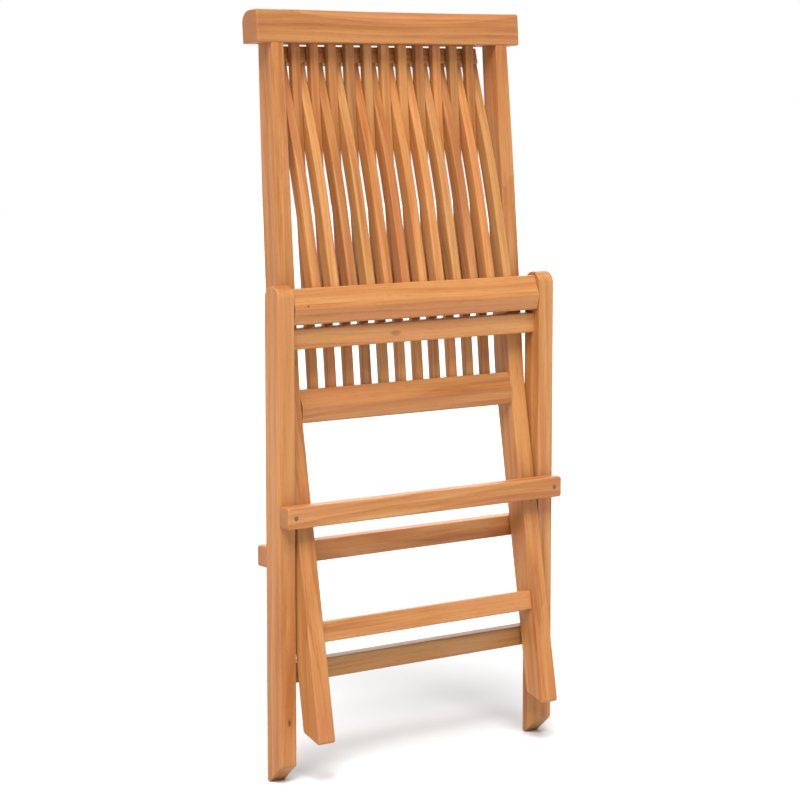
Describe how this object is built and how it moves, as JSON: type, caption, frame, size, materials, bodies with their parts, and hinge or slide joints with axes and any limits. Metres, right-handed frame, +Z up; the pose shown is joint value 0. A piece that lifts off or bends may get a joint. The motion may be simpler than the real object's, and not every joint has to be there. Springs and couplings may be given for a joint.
{
  "type": "folding chair",
  "caption": "Slatted wooden folding chair, stored folded: long bent legs carry the curved slatted back, short straight legs carry the hinged slatted seat.",
  "frame": {"origin": "on the floor, under the middle of the folded chair's bounding box", "axes": "+Z up along the folded chair, -Y the chair's front, +X to the right as seen from the front"},
  "size_m": [0.47, 0.167, 1.0252],
  "materials": {
    "teak_legs": "oiled, satin",
    "teak_rails": "oiled, satin",
    "teak_back_slats": "oiled, satin",
    "teak_seat_slats": "oiled, satin",
    "dark_plugs": "end grain, matt",
    "steel": "brushed",
    "brass": "satin"
  },
  "bodies": {
    "back_frame": {"crest_rail": "teak_rails", "left_front_leg": "teak_legs", "right_front_leg": "teak_legs", "lower_back_rail": "teak_rails", "front_stretcher": "teak_rails", "pivot_pins": "steel", "pivot_washers": "brass", "back_slat_01": "teak_back_slats", "back_slat_02": "teak_back_slats", "back_slat_03": "teak_back_slats", "back_slat_04": "teak_back_slats", "back_slat_05": "teak_back_slats", "back_slat_06": "teak_back_slats", "back_slat_07": "teak_back_slats", "back_slat_08": "teak_back_slats", "back_slat_09": "teak_back_slats", "back_slat_10": "teak_back_slats", "back_slat_11": "teak_back_slats"},
    "rear_leg_frame": {"leg_top_rail": "teak_rails", "rear_stretcher": "teak_rails", "stop_bar_plugs": "dark_plugs", "stop_bar_screws": "steel", "front_stop_bar": "teak_rails", "rear_stop_bar": "teak_rails", "right_rear_leg": "teak_legs", "left_rear_leg": "teak_legs"},
    "seat": {"seat_front_rail": "teak_rails", "seat_rear_rail": "teak_rails", "seat_pins": "steel", "seat_washers": "brass", "seat_slat_01": "teak_seat_slats", "seat_slat_02": "teak_seat_slats", "seat_slat_03": "teak_seat_slats", "seat_slat_04": "teak_seat_slats", "seat_slat_05": "teak_seat_slats", "seat_slat_06": "teak_seat_slats", "seat_slat_07": "teak_seat_slats", "seat_slat_08": "teak_seat_slats", "seat_slat_09": "teak_seat_slats", "seat_slat_10": "teak_seat_slats", "seat_slat_11": "teak_seat_slats", "seat_slat_12": "teak_seat_slats"}
  },
  "joints": [
    {"name": "leg_fold", "type": "hinge", "parent": "back_frame", "child": "rear_leg_frame", "pos_m": [0, -0.01872, 0.333], "axis": [1, 0, 0], "range_deg": [0, 59]},
    {"name": "seat_fold", "type": "hinge", "parent": "rear_leg_frame", "child": "seat", "pos_m": [0, -0.01872, 0.6495], "axis": [1, 0, 0], "range_deg": [-126, 0]}
  ],
  "couplings": [
    {"joint": "seat_fold", "follows": "leg_fold", "ratio": -2.13}
  ]
}
